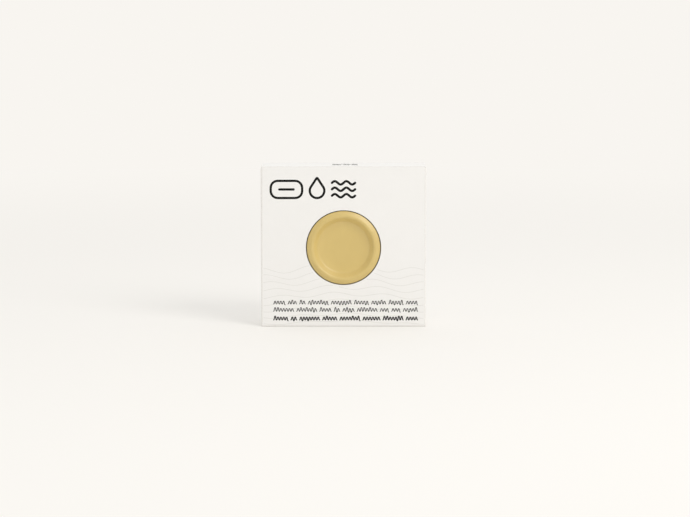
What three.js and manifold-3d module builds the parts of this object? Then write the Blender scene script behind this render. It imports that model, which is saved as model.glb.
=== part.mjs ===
// Boxed magnetic soap holder: a folding carton with a round window, the card tray inside it, the
// round dish-shaped holder whose face shows in the window, and the toothed steel cap that is
// pressed into a bar of soap.
// Units are millimetres. +Z is up, the front faces -Y and +X is on the right seen from the front.
// The origin is the middle of the carton's base.

import * as THREE from 'three';
import { mergeVertices } from 'three/addons/utils/BufferGeometryUtils.js';
import Module from 'manifold-3d';

const wasm = await Module();
wasm.setup();

// Board and the clearances shared by all folded pieces
const board = 0.5;
const foldSlip = 0.25;
const runningGap = 0.3;

// Carton
const windowCentreHeight = 48.3;
const windowHeadroom = 26.9;
const windowGap = 0.5;
const glueFlapReach = 13;
const glueFlapChamfer = 3;
const bottomDustReach = 24;

// Top closure
const tuckLength = 12;
const tuckLean = THREE.MathUtils.degToRad(20);
const tuckSideInset = 0.75;
const tuckTaper = 2;
const tuckCornerRadius = 5;
const topDustReach = 24;
const topDustRearInset = 1.25;
const topDustRearTaperShare = 0.5;
const topDustFrontInset = 3;
const topDustFrontTaper = 2.5;
const topDustCorner = 2;

// Holder, measured from the plane of the carton's front face towards the wall side
const rimRadius = 22.3;
const rimProud = 0.9;
const rimSetback = 0.3;
const rimWidth = 3;
const browBend = 1.8;
const dishWallRun = 4.2;
const dishFootBend = 2;
const dishDepth = 3.6;
const bowlSlope = THREE.MathUtils.degToRad(12);
const floorThickness = 1.2;
const rimEdgeHeight = 1;
const rimCoreWidth = 1.2;
const bodyLength = 27.4;
const bodyRearRadius = 20;
const bodyWall = 2.2;
const ribCount = 6;
const ribThickness = 1.4;
const ribHeight = 5;

// Magnet and the pieces that hold it
const magnetRadius = 8.7;
const magnetThickness = 5;
const potWall = 1;
const bossWall = 1.7;
const retainerSpigot = 1.5;
const retainerHead = 1.2;
const retainerDimpleRadius = 3;
const retainerDimpleDepth = 0.6;

// Wall side of the holder
const basePlateThickness = 1.5;
const spigotReach = 4;
const spigotWall = 1.5;
const snapBead = 0.5;
const snapWidth = 1;
const padRadius = 15.5;
const padThickness = 1;
const linerThickness = 0.25;
const linerMargin = 0.3;
const linerTabReach = 4;
const linerTabWidth = 8;

// Toothed steel cap and its pocket in the tray
const capRadius = 10;
const capPlate = 0.8;
const capTeethHeight = 5;
const capTeethWall = 0.6;
const capTeethCount = 12;
const capToothTip = 0.6;
const capToothRoot = 0.8;
const pocketSideRoom = 2.175;
const pocketGlueTab = 1.75;
const pocketLift = 6.5;
const pocketHeight = 16;

// Tray
const trayHeadGap = 1.5;
const trayFootReach = 8;
const trayRearPlateGap = 1.75;

// How finely round shapes are divided, and how far a cutter overruns what it cuts
const rimSegments = 64;
const smallSegments = 40;
const arcSegments = 5;
const browSegments = 9;
const foldSegments = 4;
const cutOverrun = 1;

// Depths behind the front plane, from the crest of the rim to the back panel
const coreDepth = rimSetback + rimEdgeHeight;
const floorDepth = dishDepth - rimProud;
const ceilingDepth = floorDepth + floorThickness;
const potRadius = magnetRadius + runningGap + potWall;
const potBackDepth = ceilingDepth + magnetThickness + potWall;
const bossEndDepth = potBackDepth + retainerSpigot;
const bodyRearDepth = bodyLength - rimProud;
const padFrontDepth = bodyRearDepth + basePlateThickness;
const linerFrontDepth = padFrontDepth + padThickness;
const linerBackDepth = linerFrontDepth + linerThickness;
const cartonDepth = linerBackDepth + foldSlip + board;

// Carton planes that follow from its contents
const pocketWidth = 2 * (capRadius + runningGap + board);
const trayHalfWidth = rimRadius + 2 * pocketSideRoom + pocketWidth + board;
const cartonWidth = 2 * (trayHalfWidth + foldSlip + 2 * board);
const cartonHeight = windowCentreHeight + rimRadius + windowHeadroom;
const halfWidth = cartonWidth / 2;
const frontY = -cartonDepth / 2;
const backY = cartonDepth / 2;
const frontInnerY = frontY + board;
const backInnerY = backY - board;
const windowRadius = rimRadius + windowGap;

// Levels of the folded ends
const bottomInnerTop = 2 * board;
const trayBase = 3 * board;
const lidUnderside = cartonHeight - board;
const topDustTop = lidUnderside - foldSlip;
const sideTop = topDustTop - board;
const lidFrontY = frontInnerY + foldSlip;
const tuckTipHeight = lidUnderside - tuckLength * Math.cos(tuckLean) - board * Math.sin(tuckLean);
const trayTop = tuckTipHeight - trayHeadGap;

// Colours of the finishes
const coatedBoard = { color: 0xf4f1ea, roughness: 0.62, metalness: 0 };
const rawBoard = { color: 0xe7e0d2, roughness: 0.85, metalness: 0 };
const yellowPlastic = { color: 0xd3b87a, roughness: 0.6, metalness: 0 };
const plainSteel = { color: 0xb7b9bb, roughness: 0.35, metalness: 1 };
const nickel = { color: 0xd0cdc4, roughness: 0.2, metalness: 1 };
const greyPlastic = { color: 0x8d8f8e, roughness: 0.6, metalness: 0 };
const foamTape = { color: 0xdcdcd8, roughness: 0.9, metalness: 0 };
const waxedPaper = { color: 0xefe6c8, roughness: 0.45, metalness: 0 };

// A closed solid from a geometry, with shared corners merged and folded triangles dropped
function toSolid(geometry) {
  const bare = geometry.clone();
  bare.deleteAttribute('normal');
  bare.deleteAttribute('uv');
  const merged = mergeVertices(bare);
  const corners = merged.index.array;
  const kept = [];
  for (let i = 0; i < corners.length; i += 3) {
    const triangle = Array.from(corners.slice(i, i + 3));
    if (new Set(triangle).size === 3) {
      kept.push(...triangle);
    }
  }
  const vertProperties = new Float32Array(merged.attributes.position.array);
  return new wasm.Manifold(new wasm.Mesh({ numProp: 3, vertProperties, triVerts: new Uint32Array(kept) }));
}

function toGeometry(solid) {
  const mesh = solid.getMesh();
  const geometry = new THREE.BufferGeometry();
  geometry.setAttribute('position', new THREE.BufferAttribute(mesh.vertProperties, 3));
  geometry.setIndex(new THREE.BufferAttribute(mesh.triVerts, 1));
  geometry.computeVertexNormals();
  return geometry;
}

function named(name, shape, finish) {
  const geometry = shape instanceof THREE.BufferGeometry ? toGeometry(toSolid(shape)) : toGeometry(shape);
  const mesh = new THREE.Mesh(geometry, new THREE.MeshStandardMaterial(finish));
  mesh.name = name;
  return mesh;
}

// A box whose faces lie exactly on the given planes
function boxBetween(low, high) {
  const geometry = new THREE.BoxGeometry();
  const corner = geometry.attributes.position;
  for (let i = 0; i < corner.count; i += 1) {
    const signs = [corner.getX(i), corner.getY(i), corner.getZ(i)];
    const place = signs.map((sign, axis) => (sign < 0 ? low[axis] : high[axis]));
    corner.setXYZ(i, ...place);
  }
  return geometry;
}

// An outline extruded between two exact planes. The outline's axes are Y and Z for a prism along
// X, X and Z for one along Y, and X and Y for one along Z.
function prism(outline, along, from, to, curveSegments = foldSegments / 2) {
  const geometry = new THREE.ExtrudeGeometry(outline, { depth: 1, bevelEnabled: false, curveSegments });
  const corner = geometry.attributes.position;
  for (let i = 0; i < corner.count; i += 1) {
    const u = corner.getX(i);
    const v = corner.getY(i);
    const far = corner.getZ(i) > 0.5;
    if (along === 'x') {
      corner.setXYZ(i, far ? to : from, u, v);
    } else if (along === 'y') {
      corner.setXYZ(i, u, far ? from : to, v);
    } else {
      corner.setXYZ(i, u, v, far ? to : from);
    }
  }
  return geometry;
}

function polygon(points) {
  return new THREE.Shape(points.map(([u, v]) => new THREE.Vector2(u, v)));
}

function rectangle(lowU, lowV, highU, highV) {
  return polygon([[lowU, lowV], [highU, lowV], [highU, highV], [lowU, highV]]);
}

function disc(centreU, centreV, radius) {
  return new THREE.Shape().absarc(centreU, centreV, radius, 0, 2 * Math.PI, false);
}

// A turned piece about the Y axis from points of radius and depth that run round its section
function turned(points, segments) {
  return new THREE.LatheGeometry(points.map(([r, depth]) => new THREE.Vector2(r, depth)), segments);
}

// Points of an arc from one angle to another, ends included
function arc(centreR, centreDepth, radius, start, end, segments = arcSegments) {
  return new THREE.Path().absarc(centreR, centreDepth, radius, start, end, end < start)
    .getPoints(segments).map(({ x, y }) => [x, y]);
}

// Round-cornered strip seen in plan: the front or back panel with half of its two folds
function wrapOutline(innerY, outward) {
  const outline = new THREE.Shape();
  const turn = outward < 0 ? Math.PI / 2 : -Math.PI / 2;
  outline.moveTo(-halfWidth, innerY);
  outline.absarc(-halfWidth + board, innerY, board, Math.PI, Math.PI + turn, outward > 0);
  outline.absarc(halfWidth - board, innerY, board, -turn, 0, outward > 0);
  outline.closePath();
  return outline;
}

function frontPanel() {
  const panel = toSolid(prism(wrapOutline(frontInnerY, -1), 'z', board, cartonHeight));
  const hole = prism(
    disc(0, windowCentreHeight, windowRadius), 'y', frontY - cutOverrun, frontInnerY + cutOverrun, rimSegments / 2,
  );
  return named('front_panel', panel.subtract(toSolid(hole)), coatedBoard);
}

function backPanel() {
  return named('back_panel', prism(wrapOutline(backInnerY, 1), 'z', board, lidUnderside), coatedBoard);
}

function sidePanel(name, side) {
  const inner = side * (halfWidth - board);
  const outer = side * halfWidth;
  const low = [Math.min(inner, outer), frontInnerY, board];
  const high = [Math.max(inner, outer), backInnerY, sideTop];
  return named(name, boxBetween(low, high), coatedBoard);
}

// The flap inside the left side panel that closes the wrap
function glueFlap() {
  const low = trayBase + glueFlapChamfer;
  const high = sideTop - glueFlapChamfer;
  const outline = polygon([
    [backInnerY - glueFlapReach, low + glueFlapChamfer],
    [backInnerY, low],
    [backInnerY, high],
    [backInnerY - glueFlapReach, high - glueFlapChamfer],
  ]);
  return named('glue_flap', prism(outline, 'x', -halfWidth + board, -halfWidth + 2 * board), rawBoard);
}

function bottomOuterPanel() {
  const outline = new THREE.Shape();
  outline.moveTo(frontY, board);
  outline.absarc(frontInnerY, board, board, Math.PI, 1.5 * Math.PI, false);
  outline.absarc(backInnerY, board, board, 1.5 * Math.PI, 2 * Math.PI, false);
  outline.closePath();
  return named('bottom_outer_panel', prism(outline, 'x', -halfWidth, halfWidth), coatedBoard);
}

function bottomInnerPanel() {
  const low = [-halfWidth + board + foldSlip, frontInnerY, board];
  const high = [halfWidth - board - foldSlip, backInnerY - foldSlip, bottomInnerTop];
  return named('bottom_inner_panel', boxBetween(low, high), rawBoard);
}

function bottomDustFlap(name, side) {
  const root = side * (halfWidth - board);
  const tip = side * (halfWidth - board - bottomDustReach);
  const low = [Math.min(root, tip), frontInnerY + foldSlip, bottomInnerTop];
  const high = [Math.max(root, tip), backInnerY - foldSlip, trayBase];
  return named(name, boxBetween(low, high), rawBoard);
}

// The lid, with the rounded fold to the back panel behind and to its tuck flap in front
function topLid() {
  const outline = new THREE.Shape();
  outline.moveTo(backY, lidUnderside);
  outline.absarc(backY - board, lidUnderside, board, 0, Math.PI / 2, false);
  outline.absarc(lidFrontY + board, lidUnderside, board, Math.PI / 2, Math.PI, false);
  outline.closePath();
  const reach = halfWidth - foldSlip;
  return named('top_lid', prism(outline, 'x', -reach, reach), coatedBoard);
}

// The tuck flap, drawn flat below its crease and leaned in behind the front panel
function topTuckFlap() {
  const topReach = halfWidth - board - tuckSideInset;
  const tipReach = topReach - tuckTaper;
  const outline = new THREE.Shape();
  outline.moveTo(-topReach, -runningGap);
  outline.lineTo(-tipReach, -tuckLength + tuckCornerRadius);
  outline.quadraticCurveTo(-tipReach, -tuckLength, -tipReach + tuckCornerRadius, -tuckLength);
  outline.lineTo(tipReach - tuckCornerRadius, -tuckLength);
  outline.quadraticCurveTo(tipReach, -tuckLength, tipReach, -tuckLength + tuckCornerRadius);
  outline.lineTo(topReach, -runningGap);
  outline.closePath();
  const flap = named('top_tuck_flap', prism(outline, 'z', -board, 0, arcSegments), coatedBoard);
  flap.position.set(0, lidFrontY, lidUnderside);
  flap.rotation.x = Math.PI / 2 + tuckLean;
  return flap;
}

// A dust flap under the lid, cut back behind so that the lid leaves it room to rise
function topDustFlap(name, side) {
  const root = side * halfWidth;
  const tip = side * (halfWidth - topDustReach);
  const inward = -side * topDustCorner;
  const rearRoot = backY - topDustRearInset;
  const rearTip = rearRoot - topDustRearTaperShare * topDustReach;
  const frontRoot = frontY + topDustFrontInset;
  const frontTip = frontRoot + topDustFrontTaper;
  const plan = new THREE.Shape();
  plan.moveTo(root, frontRoot);
  plan.lineTo(tip - inward, frontTip);
  plan.quadraticCurveTo(tip, frontTip, tip, frontTip + topDustCorner);
  plan.lineTo(tip, rearTip - topDustCorner);
  plan.quadraticCurveTo(tip, rearTip, tip - inward, rearTip + topDustRearTaperShare * topDustCorner);
  plan.lineTo(root, rearRoot);
  plan.closePath();
  const section = new THREE.Shape();
  section.moveTo(root, sideTop);
  section.absarc(
    root - side * board, sideTop, board, side > 0 ? 0 : Math.PI, Math.PI / 2, side < 0,
  );
  section.lineTo(tip - side * cutOverrun, topDustTop);
  section.lineTo(tip - side * cutOverrun, sideTop);
  section.closePath();
  const sheet = toSolid(prism(plan, 'z', sideTop, topDustTop, arcSegments));
  const folded = toSolid(prism(section, 'y', frontY, backY));
  return named(name, sheet.intersect(folded), coatedBoard);
}

function trayFrontPlate() {
  const outline = rectangle(-trayHalfWidth, trayBase, trayHalfWidth, trayTop);
  outline.holes.push(disc(0, windowCentreHeight, windowRadius));
  const front = frontInnerY + foldSlip;
  return named('tray_front_plate', prism(outline, 'y', front, front + board, rimSegments / 2), rawBoard);
}

// The plate near the back that steadies the holder's wall end
function trayRearPlate() {
  const reach = trayHalfWidth - board;
  const outline = rectangle(-reach, trayBase, reach, trayTop);
  outline.holes.push(disc(0, windowCentreHeight, bodyRearRadius + runningGap));
  const back = backInnerY - foldSlip - trayRearPlateGap;
  return named('tray_rear_plate', prism(outline, 'y', back - board, back, rimSegments / 2), rawBoard);
}

// A tray side with its foot folded in along the back panel
function traySide(name, side) {
  const outer = side * trayHalfWidth;
  const inner = side * (trayHalfWidth - board);
  const toe = side * (trayHalfWidth - trayFootReach);
  const front = frontInnerY + foldSlip + board;
  const back = backInnerY - foldSlip;
  const outline = new THREE.Shape();
  outline.moveTo(outer, front);
  outline.absarc(inner, back - board, board, side > 0 ? 0 : Math.PI, Math.PI / 2, side < 0);
  outline.lineTo(toe, back);
  outline.lineTo(toe, back - board);
  outline.lineTo(inner, back - board);
  outline.lineTo(inner, front);
  outline.closePath();
  return named(name, prism(outline, 'z', trayBase, trayTop), rawBoard);
}

// Where the cap stands in its pocket: the pocket is midway between the holder and the tray's side
const pocketX = rimRadius + pocketSideRoom + pocketWidth / 2;
const pocketFront = frontInnerY + foldSlip + board;
const capHeight = capPlate + capTeethHeight;
const pocketBack = pocketFront + 2 * runningGap + capHeight;
const pocketFloor = trayBase + pocketLift;
const capCentreHeight = pocketFloor + board + runningGap + capRadius;

function soapCapPocket() {
  const reach = pocketWidth / 2;
  const inner = reach - board;
  const tab = reach + pocketGlueTab;
  const back = pocketBack + board;
  const section = polygon([
    [pocketX - tab, pocketFront],
    [pocketX - inner, pocketFront],
    [pocketX - inner, pocketBack],
    [pocketX + inner, pocketBack],
    [pocketX + inner, pocketFront],
    [pocketX + tab, pocketFront],
    [pocketX + tab, pocketFront + board],
    [pocketX + reach, pocketFront + board],
    [pocketX + reach, back],
    [pocketX - reach, back],
    [pocketX - reach, pocketFront + board],
    [pocketX - tab, pocketFront + board],
  ]);
  const walls = toSolid(prism(section, 'z', pocketFloor, pocketFloor + pocketHeight));
  const floor = toSolid(boxBetween(
    [pocketX - reach, pocketFront, pocketFloor],
    [pocketX + reach, back, pocketFloor + board],
  ));
  return named('soap_cap_pocket', walls.add(floor), rawBoard);
}

// The steel cap: a shallow cup whose wall is cut into pointed teeth
function soapCap() {
  const inner = capRadius - capTeethWall;
  let cap = toSolid(turned([
    [0, 0], [0, capPlate], [inner, capPlate], [inner, capHeight], [capRadius, capHeight], [capRadius, 0], [0, 0],
  ].reverse(), capTeethCount * 4));
  const pitch = 2 * Math.PI * capRadius / capTeethCount;
  const mouth = (pitch - capToothTip) / 2;
  const root = capPlate + capToothRoot;
  const slope = mouth / (capHeight - root);
  const overMouth = mouth + slope * cutOverrun;
  const notch = prism(
    polygon([[0, root], [overMouth, capHeight + cutOverrun], [-overMouth, capHeight + cutOverrun]]),
    'z', inner - cutOverrun, capRadius + cutOverrun,
  );
  for (let tooth = 0; tooth < capTeethCount; tooth += 1) {
    const angle = 2 * Math.PI * (tooth + 0.5) / capTeethCount;
    cap = cap.subtract(toSolid(notch.clone().rotateY(angle)));
  }
  const mesh = named('soap_cap', cap, plainSteel);
  mesh.position.set(pocketX, pocketFront + runningGap, capCentreHeight);
  return mesh;
}

// Slope of the straight line between two bends that turn opposite ways, from the run and rise
// between their centres and the sum of their radii
function slopeBetween(run, rise, bends) {
  return Math.asin(bends / Math.hypot(run, rise)) + Math.atan2(rise, run);
}

// The face of the dish as points of radius and depth: a flat seat for the cap, a gentle bowl round
// it, the dish's wall, the rounded crest and the slope down to the outer edge of the rim
function dishFace() {
  const quarter = Math.PI / 2;
  const seatRadius = capRadius + runningGap;
  const crestRadius = rimRadius - rimWidth;
  const bowlRadius = crestRadius - dishWallRun;
  const bowlBend = (bowlRadius - seatRadius) / Math.sin(bowlSlope);
  const bowlRise = bowlBend * (1 - Math.cos(bowlSlope));
  const footRadius = bowlRadius - dishFootBend * Math.sin(bowlSlope);
  const footRise = bowlRise + dishFootBend * Math.cos(bowlSlope);
  const wallSlope = slopeBetween(
    crestRadius - footRadius, dishDepth - browBend - footRise, dishFootBend + browBend,
  );
  const edgeSlope = slopeBetween(rimWidth, rimProud + rimSetback - browBend, browBend);
  const bowl = arc(seatRadius, floorDepth - bowlBend, bowlBend, quarter, quarter - bowlSlope);
  const foot = arc(
    footRadius, floorDepth - footRise, dishFootBend, quarter - bowlSlope, quarter - wallSlope,
  );
  const brow = arc(
    crestRadius, browBend - rimProud, browBend, -quarter - wallSlope, -quarter + edgeSlope, browSegments,
  );
  return [[0, floorDepth], ...bowl, ...foot.slice(1), ...brow, [rimRadius, rimSetback]];
}

// Radius of the body's outer wall at a depth, narrowing evenly from the rim to its wall end
function bodyRadiusAt(depth) {
  const share = (depth - coreDepth) / (bodyRearDepth - coreDepth);
  return rimRadius + (bodyRearRadius - rimRadius) * share;
}

// The moulded body: dish, tapering wall, a ring boss for the magnet and a groove for the base. The
// rim is cored behind so that it is no thicker than the wall.
function holderBody() {
  const bossInner = potRadius + runningGap;
  const bossOuter = bossInner + bossWall;
  const grooveFront = bodyRearDepth - spigotReach / 2 - snapWidth / 2 - runningGap;
  const grooveBack = grooveFront + snapWidth + 2 * runningGap;
  const innerAt = (depth) => bodyRadiusAt(depth) - bodyWall;
  const section = [
    ...dishFace(),
    [rimRadius, coreDepth],
    [bodyRearRadius, bodyRearDepth],
    [innerAt(bodyRearDepth), bodyRearDepth],
    [innerAt(grooveBack), grooveBack],
    [innerAt(grooveBack) + snapBead, grooveBack],
    [innerAt(grooveFront) + snapBead, grooveFront],
    [innerAt(grooveFront), grooveFront],
    [innerAt(coreDepth), coreDepth],
    [innerAt(coreDepth) - rimCoreWidth, coreDepth],
    [rimRadius - rimWidth - dishWallRun + bodyWall, ceilingDepth],
    [bossOuter, ceilingDepth],
    [bossOuter, bossEndDepth],
    [bossInner, bossEndDepth],
    [bossInner, ceilingDepth],
    [0, ceilingDepth],
    [0, floorDepth],
  ];
  let body = toSolid(turned(section, rimSegments));
  const ribInner = (bossInner + bossOuter) / 2;
  const ribOuter = innerAt(ceilingDepth + ribHeight) + bodyWall / 2;
  const halfRib = ribThickness / 2;
  const rib = boxBetween(
    [-halfRib, ceilingDepth - floorThickness / 2, ribInner],
    [halfRib, ceilingDepth + ribHeight, ribOuter],
  );
  for (let i = 0; i < ribCount; i += 1) {
    body = body.add(toSolid(rib.clone().rotateY(2 * Math.PI * i / ribCount)));
  }
  return named('holder_body', body, yellowPlastic);
}

function magnet() {
  return named('magnet', turned([
    [0, ceilingDepth], [magnetRadius, ceilingDepth],
    [magnetRadius, ceilingDepth + magnetThickness], [0, ceilingDepth + magnetThickness], [0, ceilingDepth],
  ], smallSegments), nickel);
}

// The steel cup round the magnet, open towards the dish
function magnetPot() {
  const inner = potRadius - potWall;
  const cupFloor = potBackDepth - potWall;
  return named('magnet_pot', turned([
    [0, cupFloor], [inner, cupFloor], [inner, ceilingDepth], [potRadius, ceilingDepth],
    [potRadius, potBackDepth], [0, potBackDepth], [0, cupFloor],
  ], smallSegments), plainSteel);
}

// The plug pressed into the boss behind the magnet, its head seated on the boss's end
function magnetRetainer() {
  const headRadius = potRadius + runningGap + bossWall;
  const headBack = bossEndDepth + retainerHead;
  return named('magnet_retainer', turned([
    [0, potBackDepth], [potRadius, potBackDepth], [potRadius, bossEndDepth],
    [headRadius, bossEndDepth], [headRadius, headBack], [retainerDimpleRadius, headBack],
    [retainerDimpleRadius, headBack - retainerDimpleDepth], [0, headBack - retainerDimpleDepth],
    [0, potBackDepth],
  ], smallSegments), greyPlastic);
}

// The disc that closes the body behind, with a ring that snaps into the body's groove
function basePlate() {
  const spigotOuter = bodyRearRadius - bodyWall - runningGap;
  const spigotInner = spigotOuter - spigotWall;
  const spigotFront = bodyRearDepth - spigotReach;
  const beadMiddle = bodyRearDepth - spigotReach / 2;
  const halfBead = snapWidth / 2;
  return named('base_plate', turned([
    [0, bodyRearDepth], [spigotInner, bodyRearDepth], [spigotInner, spigotFront],
    [spigotOuter, spigotFront], [spigotOuter, beadMiddle - halfBead],
    [spigotOuter + snapBead, beadMiddle], [spigotOuter, beadMiddle + halfBead],
    [spigotOuter, bodyRearDepth], [bodyRearRadius, bodyRearDepth],
    [bodyRearRadius, padFrontDepth], [0, padFrontDepth], [0, bodyRearDepth],
  ], rimSegments), yellowPlastic);
}

function adhesivePad() {
  return named('adhesive_pad', turned([
    [0, padFrontDepth], [padRadius, padFrontDepth], [padRadius, linerFrontDepth],
    [0, linerFrontDepth], [0, padFrontDepth],
  ], smallSegments), foamTape);
}

// The peel-off paper over the pad, with a pull tab below
function releaseLiner() {
  const sheet = toSolid(prism(
    disc(0, 0, padRadius + linerMargin), 'y', linerFrontDepth, linerBackDepth, smallSegments / 2,
  ));
  const reach = linerTabWidth / 2;
  const tip = -(padRadius + linerMargin + linerTabReach);
  const tab = new THREE.Shape();
  tab.moveTo(-reach, -padRadius + linerMargin);
  tab.lineTo(-reach, tip + reach / 2);
  tab.quadraticCurveTo(-reach, tip, 0, tip);
  tab.quadraticCurveTo(reach, tip, reach, tip + reach / 2);
  tab.lineTo(reach, -padRadius + linerMargin);
  tab.closePath();
  const tabSheet = toSolid(prism(tab, 'y', linerFrontDepth, linerBackDepth, arcSegments));
  return named('release_liner', sheet.add(tabSheet), waxedPaper);
}

const carton = new THREE.Group();
carton.add(
  frontPanel(),
  backPanel(),
  sidePanel('left_side_panel', -1),
  sidePanel('right_side_panel', 1),
  glueFlap(),
  bottomOuterPanel(),
  bottomInnerPanel(),
  bottomDustFlap('bottom_dust_flap_left', -1),
  bottomDustFlap('bottom_dust_flap_right', 1),
  topLid(),
  topTuckFlap(),
  topDustFlap('top_dust_flap_left', -1),
  topDustFlap('top_dust_flap_right', 1),
);

const tray = new THREE.Group();
tray.add(
  trayFrontPlate(),
  trayRearPlate(),
  traySide('tray_side_left', -1),
  traySide('tray_side_right', 1),
  soapCapPocket(),
  soapCap(),
);

const holder = new THREE.Group();
holder.position.set(0, frontY, windowCentreHeight);
holder.add(
  holderBody(),
  magnetPot(),
  magnet(),
  magnetRetainer(),
  basePlate(),
  adhesivePad(),
  releaseLiner(),
);

const boxedSoapHolder = new THREE.Group();
boxedSoapHolder.add(carton, tray, holder);

export default boxedSoapHolder;
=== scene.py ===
import math
import random

import bmesh
import bpy
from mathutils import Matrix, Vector


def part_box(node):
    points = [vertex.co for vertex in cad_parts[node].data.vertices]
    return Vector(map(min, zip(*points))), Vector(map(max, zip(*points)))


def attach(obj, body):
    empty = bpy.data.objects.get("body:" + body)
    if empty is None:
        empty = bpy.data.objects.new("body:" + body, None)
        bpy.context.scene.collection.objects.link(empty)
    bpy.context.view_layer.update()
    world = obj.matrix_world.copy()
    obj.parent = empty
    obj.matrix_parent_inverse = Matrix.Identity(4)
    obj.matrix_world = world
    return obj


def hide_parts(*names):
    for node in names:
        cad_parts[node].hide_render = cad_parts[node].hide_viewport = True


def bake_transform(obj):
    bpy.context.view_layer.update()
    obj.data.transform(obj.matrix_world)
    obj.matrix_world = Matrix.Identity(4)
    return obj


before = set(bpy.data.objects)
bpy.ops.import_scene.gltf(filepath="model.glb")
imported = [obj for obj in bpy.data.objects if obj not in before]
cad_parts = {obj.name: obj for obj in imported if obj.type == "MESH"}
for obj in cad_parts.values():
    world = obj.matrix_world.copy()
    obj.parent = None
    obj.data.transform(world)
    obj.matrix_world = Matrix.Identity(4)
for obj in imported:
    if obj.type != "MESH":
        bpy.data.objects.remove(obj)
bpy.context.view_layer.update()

mm = 0.001

# Carton board
# White folding boxboard, half a millimetre thick. The outside is coated and smooth, the inside is
# bare grey-cream fibre, and the layered core shows wherever the die has cut it.


class Nodes:
    """Adds nodes to a tree, each from its kind, what goes into its sockets and its settings. A socket
    takes a value, a link, or a node that stands for its first output."""

    def __init__(self, tree):
        self.tree = tree

    def add(self, kind, sockets=None, settings=None):
        node = self.tree.nodes.new(kind)
        for key, value in (settings or {}).items():
            setattr(node, key, value)
        for key, value in (sockets or {}).items():
            socket = self.find(node.inputs, key)
            value = getattr(value, "socket", value)
            if isinstance(value, bpy.types.Node):
                value = value.outputs[0]
            if isinstance(value, bpy.types.NodeSocket):
                self.tree.links.new(value, socket)
            else:
                socket.default_value = value
        return node

    def find(self, sockets, key):
        """A socket by its place, its identifier or its name"""
        if isinstance(key, int):
            return sockets[key]
        return next((socket for socket in sockets if socket.identifier == key), None) or sockets[key]

    def number(self, kind, sockets=None, settings=None, output=0):
        """A new node's output as a number that sums can be made with"""
        return Amount(self, self.add(kind, sockets, settings).outputs[output])

    def steps(self, amount, low, high):
        """0 below low, 1 above high, and a smooth rise between them"""
        return self.number("ShaderNodeMapRange", {
            "Value": amount, "From Min": low, "From Max": high,
        }, {"interpolation_type": "SMOOTHSTEP"})


class Amount:
    """A number in a node tree, so that its sums can be written as sums."""

    def __init__(self, nodes, socket):
        self.nodes = nodes
        self.socket = socket

    def sum_of(self, operation, first, second):
        return self.nodes.number("ShaderNodeMath", {0: first, 1: second}, {"operation": operation})

    def __add__(self, other):
        return self.sum_of("ADD", self, other)

    def __radd__(self, other):
        return self.sum_of("ADD", other, self)

    def __sub__(self, other):
        return self.sum_of("SUBTRACT", self, other)

    def __rsub__(self, other):
        return self.sum_of("SUBTRACT", other, self)

    def __mul__(self, other):
        return self.sum_of("MULTIPLY", self, other)

    def __rmul__(self, other):
        return self.sum_of("MULTIPLY", other, self)

    def __gt__(self, other):
        return self.sum_of("GREATER_THAN", self, other)


class Finish(Nodes):
    """A surface finish: a Principled shader and the patterns that vary it, in the object's own space."""

    def __init__(self, name, constants):
        self.material = bpy.data.materials.new(name)
        self.material.use_nodes = True
        super().__init__(self.material.node_tree)
        self.tree.nodes.clear()
        self.shader = self.add("ShaderNodeBsdfPrincipled", constants)
        self.output = self.add("ShaderNodeOutputMaterial", {"Surface": self.shader})

    def spread(self, stretch):
        """Object coordinates in which a pattern is drawn out along an axis by its stretch"""
        place = self.add("ShaderNodeTexCoord").outputs["Object"]
        return self.add("ShaderNodeMapping", {"Vector": place, "Scale": [1 / way for way in stretch]})

    def clouds(self, grain, detail=2, stretch=(1, 1, 1)):
        """Soft variation between 0 and 1 in patches about as wide as the grain"""
        return self.number("ShaderNodeTexNoise", {
            "Vector": self.spread(stretch), "Scale": 1 / grain, "Detail": detail,
        })

    def cells(self, grain):
        """Distance from the middle of packed cells about as wide as the grain"""
        sockets = {"Vector": self.spread((1, 1, 1)), "Scale": 1 / grain}
        return self.number("ShaderNodeTexVoronoi", sockets, output="Distance")

    def marked(self, name):
        """A value that the mesh carries at its corners"""
        return self.number("ShaderNodeAttribute", settings={"attribute_name": name}, output="Fac")

    def between(self, factor, first, second):
        """A colour from first to second"""
        node = self.add("ShaderNodeMix", {
            "Factor_Float": factor, "A_Color": first, "B_Color": second,
        }, {"data_type": "RGBA"})
        return self.find(node.outputs, "Result_Color")

    def surface(self, colour, roughness, height, depth):
        """The colour and roughness of the shader, and relief as deep as depth where height is 1"""
        bump = self.add("ShaderNodeBump", {"Distance": depth, "Height": height})
        for key, value in (("Base Color", colour), ("Roughness", roughness), ("Normal", bump.outputs[0])):
            self.tree.links.new(getattr(value, "socket", value), self.shader.inputs[key])


coated = Finish("coated_board", {"Specular IOR Level": 0.4})
mottle = coated.clouds(11 * mm, 3)
tooth = coated.clouds(0.22 * mm, 3)
crease = coated.marked("crease") * coated.steps(coated.clouds(0.5 * mm, 3), 0.35, 0.6)
coated_white = coated.between(mottle, (0.872, 0.860, 0.841, 1), (0.892, 0.882, 0.865, 1))
coated.surface(
    coated.between(crease * 0.45, coated_white, (0.70, 0.67, 0.61, 1)),
    0.50 + mottle * 0.1 + tooth * 0.06 + crease * 0.15,
    tooth + mottle * 2.5 - crease * 1.5, 0.006 * mm,
)

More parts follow.
